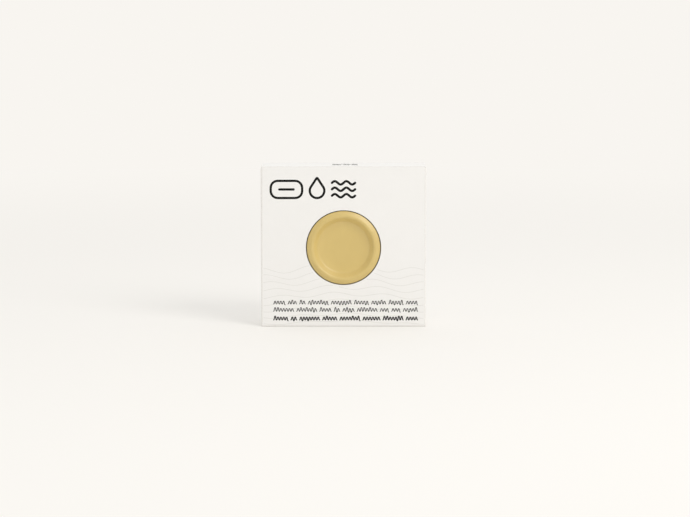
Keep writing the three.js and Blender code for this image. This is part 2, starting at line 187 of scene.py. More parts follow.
bare = Finish("bare_board", {"Specular IOR Level": 0.25})
pulp = bare.clouds(6 * mm, 4)
fibre = bare.clouds(0.35 * mm, 3, (1, 1, 7))
fleck = bare.steps(bare.clouds(0.7 * mm, 2, (1, 1, 3)), 0.70, 0.76)
bare_cream = bare.between(pulp * 0.6 + fibre * 0.4, (0.70, 0.645, 0.555, 1), (0.80, 0.745, 0.655, 1))
bare.surface(
    bare.between(fleck * 0.5, bare_cream, (0.42, 0.36, 0.28, 1)),
    0.80 + fibre * 0.15, fibre + pulp * 1.5, 0.02 * mm,
)

cut = Finish("cut_edge", {"Specular IOR Level": 0.2})
plies = cut.clouds(0.16 * mm, 3, (12, 1, 12))
fuzz = cut.clouds(0.09 * mm, 2)
cut.surface(
    cut.between(plies, (0.68, 0.63, 0.55, 1), (0.84, 0.80, 0.73, 1)),
    0.85 + fuzz * 0.1, plies + fuzz, 0.03 * mm,
)

printed_board = [coated.material, bare.material, cut.material]
tray_board = [bare.material, bare.material, cut.material]

front_low, front_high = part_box("front_panel")
side_low, side_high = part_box("right_side_panel")
board = side_high.x - side_low.x
half_width = front_high.x
fold = 0.6 * mm
shoulder = 0.7 * mm
edge_ease = 0.06 * mm
weld = 0.001 * mm
in_x, in_y, in_z = range(3)


def new_piece(name, mesh):
    """An object for a mesh, added to the scene"""
    piece = bpy.data.objects.new(name, mesh)
    bpy.context.scene.collection.objects.link(piece)
    return piece


def eased(corners, steps=6):
    """The path through corners (a, b, radius), with an arc where the radius isn't 0. A point's third
    value is 1 on an arc and 0 elsewhere."""
    path = []
    for number, (a, b, radius) in enumerate(corners):
        corner = Vector((a, b))
        if not radius:
            path.append((a, b, 0.0))
            continue
        back = (Vector(corners[number - 1][:2]) - corner).normalized()
        onward = (Vector(corners[number + 1][:2]) - corner).normalized()
        half = back.angle(onward) / 2
        reach = radius / math.tan(half)
        centre = corner + (back + onward).normalized() * radius / math.sin(half)
        first = corner + back * reach - centre
        last = corner + onward * reach - centre
        turn = math.pi - 2 * half
        for step in range(steps + 1):
            share = step / steps
            spoke = (math.sin((1 - share) * turn) * first + math.sin(share * turn) * last) / math.sin(turn)
            path.append((*(centre + spoke), 1.0))
    return path


def creased(corners):
    """The eased path, with a plain point a little beyond both ends of an arc, where its crease has
    faded out"""
    path = eased(corners)

    def beyond(number, other):
        if not 0 <= other < len(path) or not path[number][2] or path[other][2]:
            return []
        here = Vector(path[number][:2])
        toward = Vector(path[other][:2]) - here
        return [(*(here + toward.normalized() * shoulder), 0.0)] if toward.length > shoulder else []

    out = []
    for number, point in enumerate(path):
        out += beyond(number, number - 1) + [point] + beyond(number, number + 1)
    return out


class Sheet:
    """The printed face of a piece of board, which is then given its thickness and its cut edges."""

    def __init__(self):
        self.corners = []
        self.creases = []
        self.faces = []

    def weave(self, rows, closed=False):
        """Faces between neighbouring rows of corners. A row is its crease value and its points."""
        start = len(self.corners)
        count = len(rows[0][1])
        for mark, points in rows:
            self.corners += [tuple(point) for point in points]
            self.creases += [mark] * count
        for row in range(len(rows) - 1):
            here, beyond = start + row * count, start + (row + 1) * count
            for step in range(count if closed else count - 1):
                onward = (step + 1) % count
                self.faces.append((here + step, here + onward, beyond + onward, beyond + step))

    def strip(self, stations, across, shares=(0, 1)):
        """Board along a path. A station is (a, b, crease, low, high): a point of the path and how far
        the board reaches along the axis that the path leaves out."""
        rows = []
        for a, b, mark, low, high in stations:
            points = [[a, b] for _ in shares]
            for point, share in zip(points, shares):
                point.insert(across, low + (high - low) * share)
            rows.append((mark, points))
        self.weave(rows)

    def pane(self, low, high, y, centre, radius, shares, ring_shares=(0, 0.04, 0.12, 0.25, 0.45, 0.7, 1)):
        """An upright rectangle with a round hole, as rings of corners from the hole to the outline"""
        ring = [(share, 0) for share in shares[:-1]]
        ring += [(1, share) for share in shares[:-1]]
        ring += [(1 - share, 1) for share in shares[:-1]]
        ring += [(0, 1 - share) for share in shares[:-1]]
        rows = []
        for outward in ring_shares:
            points = []
            for aside, above in ring:
                edge = Vector((low[0] + (high[0] - low[0]) * aside, low[1] + (high[1] - low[1]) * above))
                hole = centre + (edge - centre).normalized() * radius
                x, z = hole.lerp(edge, outward)
                points.append((x, y, z))
            rows.append((0.0, points))
        self.weave(rows, closed=True)

    def disc(self, rows):
        """Rings of corners about a middle that is closed by one face"""
        self.faces.append(tuple(range(len(rows[0]))))
        self.weave([(0.0, row) for row in rows], closed=True)

    def piece(self, name, outward, finishes, thickness=board):
        """The finished piece. outward is the way that the printed face looks where it lies furthest out."""
        outward = Vector(outward)
        mesh = bpy.data.meshes.new(name)
        mesh.from_pydata(self.corners, [], self.faces)
        mesh.attributes.new("crease", "FLOAT", "POINT").data.foreach_set("value", self.creases)
        shape = bmesh.new()
        shape.from_mesh(mesh)
        bmesh.ops.remove_doubles(shape, verts=shape.verts, dist=weld)
        bmesh.ops.recalc_face_normals(shape, faces=shape.faces)
        outermost = max(shape.faces, key=lambda face: (
            round(face.calc_center_median().dot(outward), 6), face.calc_area(),
        ))
        if outermost.normal.dot(outward) < 0:
            bmesh.ops.reverse_faces(shape, faces=shape.faces)
        shape.to_mesh(mesh)
        shape.free()
        piece = new_piece(name, mesh)
        for material in finishes:
            mesh.materials.append(material)
        wall = piece.modifiers.new("thickness", "SOLIDIFY")
        wall.thickness = thickness
        wall.offset = -1
        wall.use_even_offset = True
        wall.use_quality_normals = True
        wall.material_offset = 1
        wall.material_offset_rim = 2
        ease = piece.modifiers.new("cut corners", "BEVEL")
        ease.width = edge_ease
        ease.segments = 1
        ease.limit_method = "ANGLE"
        ease.angle_limit = math.radians(60)
        return settled(piece)


def smooth(mesh, crisp):
    """Shades the mesh smooth except where it turns by more than the angle"""
    mesh.polygons.foreach_set("use_smooth", [True] * len(mesh.polygons))
    mesh.set_sharp_from_angle(angle=math.radians(crisp))


def settled(piece):
    """The piece with its modifiers worked into its mesh"""
    ready = bpy.data.meshes.new_from_object(piece.evaluated_get(bpy.context.evaluated_depsgraph_get()))
    piece.modifiers.clear()
    piece.data = ready
    smooth(ready, 35)
    return piece


def fit(piece, body, slot, *nodes):
    """The piece moves with its body and stands for the nodes it replaces, which are hidden. The slot is not
    used.
    """
    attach(piece, body)
    if nodes:
        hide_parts(*nodes)


def panel(name, stations, across, outward, finishes, *fitting):
    """A piece made of one strip of board, fitted where the body, the slot and the node are given"""
    sheet = Sheet()
    sheet.strip(stations, across)
    piece = sheet.piece(name, outward, finishes)
    if fitting:
        fit(piece, *fitting)
    return piece


# Carton wrap
# One blank makes the front, both sides, the back and the glue flap. It is creased at four upright
# folds and closed by gluing the left side over the flap, so the left side ends in a cut edge behind.
holder_low, holder_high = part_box("holder_body")
flap_low, flap_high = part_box("glue_flap")
dust_low, dust_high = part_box("top_dust_flap_right")
base_flap_low, base_flap_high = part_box("bottom_dust_flap_right")
lid_low, lid_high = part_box("top_lid")
front_y = front_low.y
back_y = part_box("back_panel")[1].y
carton_top = front_high.z
window_centre = Vector((0, (holder_low.z + holder_high.z) / 2))
window_gap = 0.5 * mm
rim_radius = holder_high.x
window_radius = rim_radius + window_gap
glue_chamfer = 3 * mm
seam_inset = 0.4 * mm
fold_gap = 0.1 * mm
front_foot = fold + fold_gap
side_foot = base_flap_low.z + fold + fold_gap
back_top = lid_low.z - fold
side_top = dust_low.z - 0.05 * mm
flap_notch_top = dust_low.z - fold
notch_step = 0.02 * mm
fold_zone = 0.3 * fold
hair = 0.01 * mm
pane_edge = half_width - fold - shoulder
level_count = 48
levels = [step / level_count for step in range(level_count + 1)]
hands = ((-1, "left"), (1, "right"))
forward = (0, -1, 0)


def wrap_ends(x, y):
    """Lower and upper end of the wrap where it passes a point of the plan"""
    on_flap = x < 0 and abs(x + half_width - board) < hair
    if on_flap and flap_low.y - mm < y < back_y - fold:
        chamfer = glue_chamfer * (back_y - fold - y) / (back_y - fold - flap_low.y)
        return flap_low.z + chamfer, flap_high.z - chamfer
    if y < front_y + fold_zone:
        return front_foot, carton_top
    if y > back_y - fold_zone:
        return front_foot, back_top
    if dust_low.y <= y <= dust_high.y:
        return side_foot, flap_notch_top
    return side_foot, side_top


def wrap_stations(corners):
    """The stations of the wrap along its plan, each with its lower and upper end"""
    return [(x, y, mark, *wrap_ends(x, y)) for x, y, mark in creased(corners)]


def side_plan(x):
    """The plan of a side from back to front, with steps where the notches for the dust flap are"""
    return [(x, y, 0) for y in (
        dust_high.y + notch_step, dust_high.y, dust_low.y, dust_low.y - notch_step,
    )]


wrap = Sheet()
wrap.strip(wrap_stations(
    [(-half_width, back_y - seam_inset, 0)] + side_plan(-half_width)
    + [(-half_width, front_y, fold), (-pane_edge, front_y, 0)]
), in_z, levels)
wrap.strip(wrap_stations(
    [(pane_edge, front_y, 0), (half_width, front_y, fold)] + side_plan(half_width)[::-1] + [
        (half_width, back_y, fold),
        (-half_width + board, back_y, fold),
        (-half_width + board, flap_low.y, 0),
    ]
), in_z, levels)
wrap.pane((-pane_edge, front_foot), (pane_edge, carton_top), front_y, window_centre, window_radius, levels)
fit(
    wrap.piece("carton_wrap", forward, printed_board), "carton", "coated_board",
    "front_panel", "back_panel", "left_side_panel", "right_side_panel", "glue_flap",
)

# Carton base
# The outer and inner panels and the two dust flaps are folded over each other and glued, coated side
# down. The outer panel and the dust flaps turn up into the walls with the same rounded crease.
down = (0, 0, -1)
base_reach = half_width - 0.15 * mm
base_taper = 2 * mm
base_corner = 3 * mm
panel("base_outer_panel", [(*point, -base_reach, base_reach) for point in creased([
    (front_y, front_foot, 0), (front_y, 0, fold), (back_y, 0, fold), (back_y, front_foot, 0),
])], in_x, down, printed_board, "carton", "coated_board", "bottom_outer_panel")

inner_low, inner_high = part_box("bottom_inner_panel")
panel("base_inner_panel", [
    (y, inner_low.z, 0.0, inner_low.x, inner_high.x) for y in (inner_low.y, inner_high.y)
], in_x, down, printed_board, "carton", "raw_board", "bottom_inner_panel")


def tongue(root, tip, root_reach, tip_reach, corner, steps=5):
    """Places from root to tip of a flap, each with its two side limits, which run from root_reach to
    tip_reach and are rounded by corner at the tip"""
    length = abs(tip - root)
    turns = [math.sin(math.pi / 2 * step / steps) for step in range(steps + 1)]
    places = []
    for share in [0.0] + [1 - corner / length * (1 - turn) for turn in turns]:
        into = max(0.0, share - 1 + corner / length) * length
        inset = corner - math.sqrt(max(0.0, corner ** 2 - into ** 2))
        low = root_reach[0] + (tip_reach[0] - root_reach[0]) * share + inset
        high = root_reach[1] + (tip_reach[1] - root_reach[1]) * share - inset
        places.append((root + (tip - root) * share, low, high))
    return places


base_root_reach = (base_flap_low.y, base_flap_high.y)
base_tip_reach = (base_flap_low.y + base_taper, base_flap_high.y - base_taper)
for side, hand in hands:
    turn_up = creased([
        (side * half_width, side_foot, 0),
        (side * half_width, base_flap_low.z, fold),
        (side * (half_width - fold - shoulder), base_flap_low.z, 0),
    ])
    stations = [(*point, *base_root_reach) for point in turn_up[:-1]]
    stations += [(x, base_flap_low.z, 0.0, low, high) for x, low, high in tongue(
        turn_up[-1][0], side * base_flap_low.x, base_root_reach, base_tip_reach, base_corner,
    )]
    panel(
        f"base_dust_flap_{hand}", stations, in_y, down, printed_board,
        "carton", "raw_board", f"bottom_dust_flap_{hand}",
    )

# Card tray
# Bare board folded from one strip: a front plate with a hole for the holder, two sides and two feet
# that turn in along the back. A second plate near the back steadies the holder's wall end.
tray_low, tray_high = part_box("tray_front_plate")
foot_low, foot_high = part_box("tray_side_right")
plate_low, plate_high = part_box("tray_rear_plate")
tray_pane_edge = tray_high.x - fold - shoulder
running_gap = 0.3 * mm
rear_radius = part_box("base_plate")[1].x
tray = Sheet()
for side, hand in hands:
    tray.strip([(*point, tray_low.z, tray_high.z) for point in creased([
        (side * tray_pane_edge, tray_low.y, 0),
        (side * tray_high.x, tray_low.y, fold),
        (side * tray_high.x, foot_high.y, fold),
        (side * foot_low.x, foot_high.y, 0),
    ])], in_z, levels)
tray.pane(
    (-tray_pane_edge, tray_low.z), (tray_pane_edge, tray_high.z), tray_low.y,
    window_centre, window_radius, levels,
)
fit(
    tray.piece("tray_folded_card", forward, tray_board), "carton", "raw_board",
    "tray_front_plate", "tray_side_left", "tray_side_right",
)

rear_plate = Sheet()
rear_plate.pane(
    (plate_low.x, plate_low.z), (plate_high.x, plate_high.z), plate_low.y,
    window_centre, rear_radius + running_gap, levels,
)
fit(rear_plate.piece("tray_rear_card", forward, tray_board), "carton", "raw_board", "tray_rear_plate")

# Cap pocket
# A strip of bare card bent into a shallow tray with two glue tabs, and a floor panel below, glued to
# the back of the tray's front plate. The steel cap stands in it.
pocket_low, pocket_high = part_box("soap_cap_pocket")
pocket_tab = 1.75 * mm
pocket_bend = 0.55 * mm
pocket_face = pocket_low.y + board
floor_inset = pocket_tab + board
backward = (0, 1, 0)
panel("cap_pocket_wall", [(*point, pocket_low.z, pocket_high.z) for point in eased([
    (pocket_low.x, pocket_face, 0),
    (pocket_low.x + pocket_tab, pocket_face, 0),
    (pocket_low.x + pocket_tab, pocket_high.y, pocket_bend),
    (pocket_high.x - pocket_tab, pocket_high.y, pocket_bend),
    (pocket_high.x - pocket_tab, pocket_face, 0),
    (pocket_high.x, pocket_face, 0),
])], in_z, backward, tray_board, "carton", "raw_board", "soap_cap_pocket")
panel("cap_pocket_floor", [
    (y, pocket_low.z, 0.0, pocket_low.x + floor_inset, pocket_high.x - floor_inset)
    for y in (pocket_low.y, pocket_high.y - board)
], in_x, down, tray_board, "carton", "raw_board", "soap_cap_pocket")

# Holder body
# One injection moulding in a recycled yellow plastic: a shallow dish with a soft rounded rim, a wall
# that narrows towards the tiles, and inside it a ring boss for the magnet with six ribs.
yellow = Finish("yellow_plastic", {"Specular IOR Level": 0.9})
flow = yellow.clouds(7 * mm, 3, (1, 1, 2))
speck = yellow.clouds(0.45 * mm, 2)
spark = yellow.clouds(0.13 * mm, 2)
yellow_melt = yellow.between(flow, (0.618, 0.452, 0.141, 1), (0.680, 0.511, 0.174, 1))
dark_specks = yellow.steps(speck, 0.72, 0.78) * 0.35
yellow.surface(
    yellow.between(dark_specks, yellow_melt, (0.36, 0.25, 0.09, 1)),
    0.33 + spark * 0.10 + flow * 0.06, spark + flow * 0.6, 0.012 * mm,
)

boss_head_low, boss_head_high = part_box("magnet_retainer")
pot_low, pot_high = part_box("magnet_pot")
cap_low, cap_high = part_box("soap_cap")
rim_proud = front_y - holder_low.y
rim_setback = 0.3 * mm
rim_width = 3.0 * mm
rim_edge = 1.0 * mm
rim_core = 1.2 * mm
brow_bend = 1.8 * mm
dish_wall_run = 4.2 * mm
dish_foot_bend = 2.0 * mm
dish_depth = 3.6 * mm
bowl_slope = math.radians(12)
seat_radius = (cap_high.x - cap_low.x) / 2 + running_gap
crest_radius = rim_radius - rim_width
bowl_radius = crest_radius - dish_wall_run
body_wall = 2.2 * mm
moulded_ease = 0.35 * mm
body_depth = holder_high.y - front_y
core_depth = rim_setback + rim_edge
ceiling_depth = pot_low.y - front_y
boss_outer = boss_head_high.x
boss_inner = pot_high.x + running_gap
boss_end_depth = boss_head_low.y - front_y + 1.5 * mm
groove_depth = body_depth - 2.8 * mm
groove_end = groove_depth + 1.6 * mm
groove_cut = 0.5 * mm


def arc_points(centre, radius, start, end, steps=10):
    """Points of an arc, ends included"""
    angles = [start + (end - start) * step / steps for step in range(steps + 1)]
    return [(centre[0] + radius * math.cos(turn), centre[1] + radius * math.sin(turn)) for turn in angles]


def slope_between(run, rise, bends):
    """Slope of the straight line between two bends that turn opposite ways, from the run and rise
    between their centres and the sum of their radii"""
    return math.asin(bends / math.hypot(run, rise)) + math.atan2(rise, run)


def dish_face():
    """Radius and depth from the flat seat for the cap over the gentle bowl, the dish's wall and the
    rounded crest to where the rim slopes down to its edge"""
    quarter = math.pi / 2
    floor_depth = dish_depth - rim_proud
    bowl_bend = (bowl_radius - seat_radius) / math.sin(bowl_slope)
    bowl_rise = bowl_bend * (1 - math.cos(bowl_slope))
    foot_radius = bowl_radius - dish_foot_bend * math.sin(bowl_slope)
    foot_rise = bowl_rise + dish_foot_bend * math.cos(bowl_slope)
    wall_slope = slope_between(
        crest_radius - foot_radius, dish_depth - brow_bend - foot_rise, dish_foot_bend + brow_bend,
    )
    edge_slope = slope_between(rim_width, rim_proud + rim_setback - brow_bend, brow_bend)
    bowl = arc_points((seat_radius, floor_depth - bowl_bend), bowl_bend, quarter, quarter - bowl_slope)
    foot = arc_points(
        (foot_radius, floor_depth - foot_rise), dish_foot_bend, quarter - bowl_slope, quarter - wall_slope,
    )
    brow = arc_points(
        (crest_radius, brow_bend - rim_proud), brow_bend, -quarter - wall_slope, -quarter + edge_slope, 18,
    )
    return [(0, floor_depth)] + bowl + foot[1:] + brow


def wall_at(depth):
    """Radius of the body's outer wall, which narrows evenly from the rim to the wall end"""
    return rim_radius + (rear_radius - rim_radius) * (depth - core_depth) / (body_depth - core_depth)


def turned(name, node, slot, finish, corners, segments=128):
    """A piece of the holder turned about its axis, from corners (radius, depth, rounding) of its outline
    that run from axis to axis"""
    mesh = bpy.data.meshes.new(name)
    shape = bmesh.new()
    rings = []
    for radius, depth, mark in eased(corners, 4):
        angles = [2 * math.pi * step / segments for step in range(segments if radius > 0 else 1)]
        rings.append([
            shape.verts.new((
                radius * math.sin(turn), front_y + depth, window_centre.y + radius * math.cos(turn),
            ))
            for turn in angles
        ])
    for ring, following in zip(rings, rings[1:]):
        for step in range(segments):
            onward = (step + 1) % segments
            around = [ring[step % len(ring)], ring[onward % len(ring)]]
            around += [following[onward % len(following)], following[step % len(following)]]
            around = list(dict.fromkeys(around))
            if len(around) > 2:
                shape.faces.new(around)
    bmesh.ops.recalc_face_normals(shape, faces=shape.faces)
    shape.to_mesh(mesh)
    shape.free()
    mesh.materials.append(finish.material)
    smooth(mesh, 40)
    fit(new_piece(name, mesh), "holder", slot, node)


turned("holder_dish", "holder_body", "yellow_plastic", yellow, [
    (radius, depth, 0) for radius, depth in dish_face()
] + [
    (rim_radius, rim_setback, moulded_ease),
    (rim_radius, core_depth, 0),
    (rear_radius, body_depth, moulded_ease),
    (wall_at(body_depth) - body_wall, body_depth, moulded_ease),
    (wall_at(groove_end) - body_wall, groove_end, 0),
    (wall_at(groove_end) - body_wall + groove_cut, groove_end, 0),
    (wall_at(groove_depth) - body_wall + groove_cut, groove_depth, 0),
    (wall_at(groove_depth) - body_wall, groove_depth, 0),
    (wall_at(core_depth) - body_wall, core_depth, moulded_ease),
    (wall_at(core_depth) - body_wall - rim_core, core_depth, moulded_ease),
    (bowl_radius + body_wall, ceiling_depth, moulded_ease),
    (boss_outer, ceiling_depth, moulded_ease),
    (boss_outer, boss_end_depth, moulded_ease),
    (boss_inner, boss_end_depth, moulded_ease),
    (boss_inner, ceiling_depth, 0),
    (0, ceiling_depth, 0),
], 224)


class Recipe(Nodes):
    """A Geometry Nodes tree with named inputs, which turns a mesh into a piece with a finish."""

    def __init__(self, name, inputs):
        super().__init__(bpy.data.node_groups.new(name, "GeometryNodeTree"))
        self.inputs = {
            label: self.tree.interface.new_socket(name=label, in_out="INPUT", socket_type=f"NodeSocket{kind}")
            for label, kind in inputs
        }
        self.tree.interface.new_socket(name="Piece", in_out="OUTPUT", socket_type="NodeSocketGeometry")
        self.given = self.add("NodeGroupInput").outputs

    def close(self, shape):
        """Ends the tree with real copies in their finish"""
        real = self.add("GeometryNodeRealizeInstances", {"Geometry": shape})
        painted = self.add("GeometryNodeSetMaterial", {"Geometry": real, "Material": self.given["Finish"]})
        self.add("NodeGroupOutput", {0: painted})

    def make(self, name, mesh, values):
        """A piece made from the mesh, with these values for the inputs"""
        piece = new_piece(name, mesh)
        work = piece.modifiers.new("recipe", "NODES")
        work.node_group = self.tree
        for label, value in values.items():
            work[self.inputs[label].identifier] = value
        return settled(piece)


def spaced_round():
    """A recipe that sets copies of a shape at even angles about an axis along Y"""
    recipe = Recipe("evenly_spaced", (
        ("Shape", "Geometry"), ("Copies", "Int"), ("Turn", "Float"), ("Centre", "Vector"),
        ("Finish", "Material"),
    ))
    given = recipe.given
    points = recipe.add("GeometryNodeMeshLine", {"Count": given["Copies"], "Offset": (0, 0, 0)})
    turn = recipe.number("GeometryNodeInputIndex") * given["Turn"]
    ring = recipe.add("GeometryNodeInstanceOnPoints", {
        "Points": points, "Instance": given["Shape"],
        "Rotation": recipe.add("ShaderNodeCombineXYZ", {"Y": turn}),
    })
    recipe.close(recipe.add("GeometryNodeTransform", {"Geometry": ring, "Translation": given["Centre"]}))
    return recipe


def rounded_block(name, low, high, ease):
    """A block between two corners with its edges eased"""
    shape = bmesh.new()
    bmesh.ops.create_cube(shape, size=1)
    for corner in shape.verts:
        corner.co = Vector(high[axis] if corner.co[axis] > 0 else low[axis] for axis in range(3))
    bmesh.ops.bevel(
        shape, geom=shape.edges[:], offset=ease, segments=2, profile=0.5, affect="EDGES",
    )
    mesh = bpy.data.meshes.new(name)
    shape.to_mesh(mesh)
    shape.free()
    return mesh


rib_half = 0.7 * mm
rib_height = 5 * mm
rib_root = 0.5 * mm
rib_ease = 0.2 * mm
rib_count = 6
rib = rounded_block(
    "rib", (-rib_half, ceiling_depth - rib_root, (boss_inner + boss_outer) / 2),
    (rib_half, ceiling_depth + rib_height, wall_at(ceiling_depth) - body_wall / 2), rib_ease,
)
ribs = spaced_round().make("holder_ribs", rib, {
    "Copies": rib_count, "Turn": 2 * math.pi / rib_count, "Centre": (0, front_y, window_centre.y),
    "Finish": yellow.material,
})
fit(ribs, "holder", "yellow_plastic", "holder_body")

# Magnet, steel cup and plug
# The nickel-plated magnet sits against the dish in a zinc-plated cup, which turns its pull forwards.
# A grey plug pressed into the boss keeps both in place.
nickel = Finish("nickel_plating", {"Metallic": 1.0})
smear = nickel.clouds(3 * mm, 3)
nickel_grain = nickel.clouds(0.3 * mm, 2)
nickel.surface(
    nickel.between(smear, (0.60, 0.575, 0.52, 1), (0.70, 0.68, 0.63, 1)),
    0.14 + smear * 0.14, nickel_grain, 0.002 * mm,
)

steel = Finish("stamped_steel", {"Metallic": 1.0})
brushed = steel.clouds(0.12 * mm, 3, (25, 1, 1))
cloudy = steel.clouds(2.5 * mm, 3)
steel.surface(
    steel.between(cloudy, (0.50, 0.50, 0.51, 1), (0.62, 0.62, 0.63, 1)),
    0.22 + brushed * 0.16 + cloudy * 0.08, brushed, 0.003 * mm,
)

grey = Finish("grey_plastic", {"Specular IOR Level": 0.45})
grain = grey.clouds(0.15 * mm, 2)
haze = grey.clouds(5 * mm, 2)
grey.surface(
    grey.between(haze, (0.24, 0.245, 0.245, 1), (0.30, 0.30, 0.295, 1)),
    0.5 + grain * 0.15, grain, 0.01 * mm,
)

magnet_low, magnet_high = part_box("magnet")
magnet_ease = 0.3 * mm
magnet_back = magnet_high.y - front_y


def disc_outline(low, high, ease):
    """Outline of a plain disc that fills a box, with its two edges eased"""
    front, back = low.y - front_y, high.y - front_y
    return [(0, front, 0), (high.x, front, ease), (high.x, back, ease), (0, back, 0)]


turned("disc_magnet", "magnet", "nickel", nickel, disc_outline(magnet_low, magnet_high, magnet_ease))

pot_inner = magnet_high.x + running_gap
pot_back = pot_high.y - front_y
pot_lip = 0.2 * mm
pot_bend = 0.6 * mm
turned("magnet_cup", "magnet_pot", "steel", steel, [
    (0, magnet_back, 0),
    (pot_inner, magnet_back, 0),
    (pot_inner, ceiling_depth, pot_lip),
    (pot_high.x, ceiling_depth, pot_lip),
    (pot_high.x, pot_back, pot_bend),
    (0, pot_back, 0),
])

plug_front = boss_head_low.y - front_y
plug_back = boss_head_high.y - front_y
plug_ease = 0.2 * mm
plug_seat_ease = 0.1 * mm
plug_edge_ease = 0.4 * mm
dimple_radius = 3 * mm
dimple_draft = 0.3 * mm
dimple_floor = plug_back - 0.6 * mm
dimple_ease = 0.25 * mm
turned("boss_plug", "magnet_retainer", "grey_plastic", grey, [
    (0, plug_front, 0),
    (pot_high.x, plug_front, plug_ease),
    (pot_high.x, boss_end_depth, 0),
    (boss_outer, boss_end_depth, plug_seat_ease),
    (boss_outer, plug_back, plug_edge_ease),
    (dimple_radius, plug_back, dimple_ease),
    (dimple_radius - dimple_draft, dimple_floor, plug_ease),
    (0, dimple_floor, 0),
])

# Base plate, foam pad and liner
# A yellow disc snaps into the back of the body. A disc of white foam tape is stuck to it, and waxed
# paper with a pull tab covers the adhesive until the holder goes on the wall.
plate_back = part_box("base_plate")[1].y - front_y
spigot_outer = rear_radius - body_wall - running_gap
spigot_inner = spigot_outer - 1.5 * mm
spigot_front = body_depth - 4 * mm
bead_middle = body_depth - 2 * mm
bead_reach = 0.5 * mm
bead_ease = 0.2 * mm
spigot_ease = 0.3 * mm
plate_seat_ease = 0.1 * mm
plate_edge_ease = 0.4 * mm
turned("snap_in_base", "base_plate", "yellow_plastic", yellow, [
    (0, body_depth, 0),
    (spigot_inner, body_depth, spigot_ease),
    (spigot_inner, spigot_front, spigot_ease),
    (spigot_outer, spigot_front, spigot_ease),
    (spigot_outer, bead_middle - bead_reach, 0),
    (spigot_outer + bead_reach, bead_middle, bead_ease),
    (spigot_outer, bead_middle + bead_reach, 0),
    (spigot_outer, body_depth, 0),
    (rear_radius, body_depth, plate_seat_ease),
    (rear_radius, plate_back, plate_edge_ease),
    (0, plate_back, 0),
], 160)

foam = Finish("white_foam", {"Specular IOR Level": 0.25})
bubble = foam.cells(0.28 * mm)
foam.surface(
    foam.between(bubble, (0.62, 0.62, 0.60, 1), (0.76, 0.76, 0.74, 1)),
    0.85 + bubble * 0.1, bubble, 0.08 * mm,
)
pad_ease = 0.15 * mm
turned("foam_pad", "adhesive_pad", "foam_tape", foam, disc_outline(*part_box("adhesive_pad"), pad_ease))

waxed = Finish("waxed_paper", {"Specular IOR Level": 0.5})
paper_cloud = waxed.clouds(4 * mm, 4)
paper_fibre = waxed.clouds(0.25 * mm, 2, (1, 1, 4))
waxed.surface(
    waxed.between(paper_cloud, (0.80, 0.73, 0.53, 1), (0.86, 0.80, 0.62, 1)),
    0.30 + paper_fibre * 0.12, paper_fibre, 0.008 * mm,
)
liner_low, liner_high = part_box("release_liner")
liner_radius = liner_high.x
liner_paper = 0.15 * mm
liner_y = liner_high.y - 0.05 * mm
tab_half = 4 * mm
tab_tip = window_centre.y - liner_low.z
liner_shares = (0.02, 0.35, 0.7, 0.9, 1)
liner_steps = 240
full_turn = [2 * math.pi * step / liner_steps for step in range(liner_steps)]


def liner_reach(angle):
    """How far the liner reaches from its middle at an angle from straight down"""
    aside = abs(math.sin(angle))
    below = math.cos(angle)
    if below <= 0 or aside * liner_radius >= tab_half:
        return liner_radius
    edge = tab_half / aside if aside else tab_tip
    corner_centre = tab_tip - tab_half
    round_end = corner_centre * below + math.sqrt(tab_half ** 2 - (corner_centre * aside) ** 2)
    return max(liner_radius, min(edge, round_end) if edge * below > corner_centre else edge)


liner = Sheet()
liner.disc([
    [
        (
            liner_reach(angle) * share * math.sin(angle), liner_y,
            window_centre.y - liner_reach(angle) * share * math.cos(angle),
        )
        for angle in full_turn
    ]
    for share in liner_shares
])
liner_piece = liner.piece("release_paper", backward, [waxed.material], liner_paper)
fit(liner_piece, "holder", "waxed_paper", "release_liner")

# Steel cap
# A shallow cup pressed from sheet steel. Its wall is cut into twelve points, which are pushed into a
# bar of soap, and its flat face is what the magnet holds.
cap_centre = Vector(((cap_low.x + cap_high.x) / 2, cap_low.y, (cap_low.z + cap_high.z) / 2))
cap_radius = (cap_high.x - cap_low.x) / 2
cap_depth = cap_high.y - cap_low.y
cap_bend = 0.9 * mm
cap_sheet = 0.6 * mm
cap_root = 1.6 * mm
tooth_count = 12
tooth_steps = 16
tooth_tip = 0.6 * mm
tooth_pitch = 2 * math.pi * cap_radius / tooth_count
tooth_shares = (0.2, 0.45, 0.7, 0.9, 1)
cap_eye = 0.06 * mm
face_shares = (0.35, 0.7)


def cap_ring(radius, depths):
    """A ring of the cap, with a depth at each step round it"""
    return [
        cap_centre + Vector((
            radius * math.sin(2 * math.pi * step / len(depths)), depth,
            radius * math.cos(2 * math.pi * step / len(depths)),
        ))
        for step, depth in enumerate(depths)
    ]


def tooth_height(step):
    """Height of the cap's wall at a step round it"""
    across = abs((step % tooth_steps) / tooth_steps - 0.5) * tooth_pitch
    slope = (across - tooth_tip / 2) / (tooth_pitch / 2 - tooth_tip / 2)
    return cap_root + (cap_depth - cap_root) * (1 - max(0.0, slope))


cap_steps = range(tooth_count * tooth_steps)
cap_points = [(cap_eye, 0)] + [(share * cap_radius, 0) for share in face_shares]
cap_points += arc_points((cap_radius - cap_bend, cap_bend), cap_bend, -math.pi / 2, 0, 6)
cap = Sheet()
cap.disc([cap_ring(radius, [depth] * len(cap_steps)) for radius, depth in cap_points] + [
    cap_ring(cap_radius, [cap_bend + (tooth_height(step) - cap_bend) * share for step in cap_steps])
    for share in tooth_shares
])
fit(cap.piece("toothed_cap", forward, [steel.material], cap_sheet), "cap", "steel", "soap_cap")
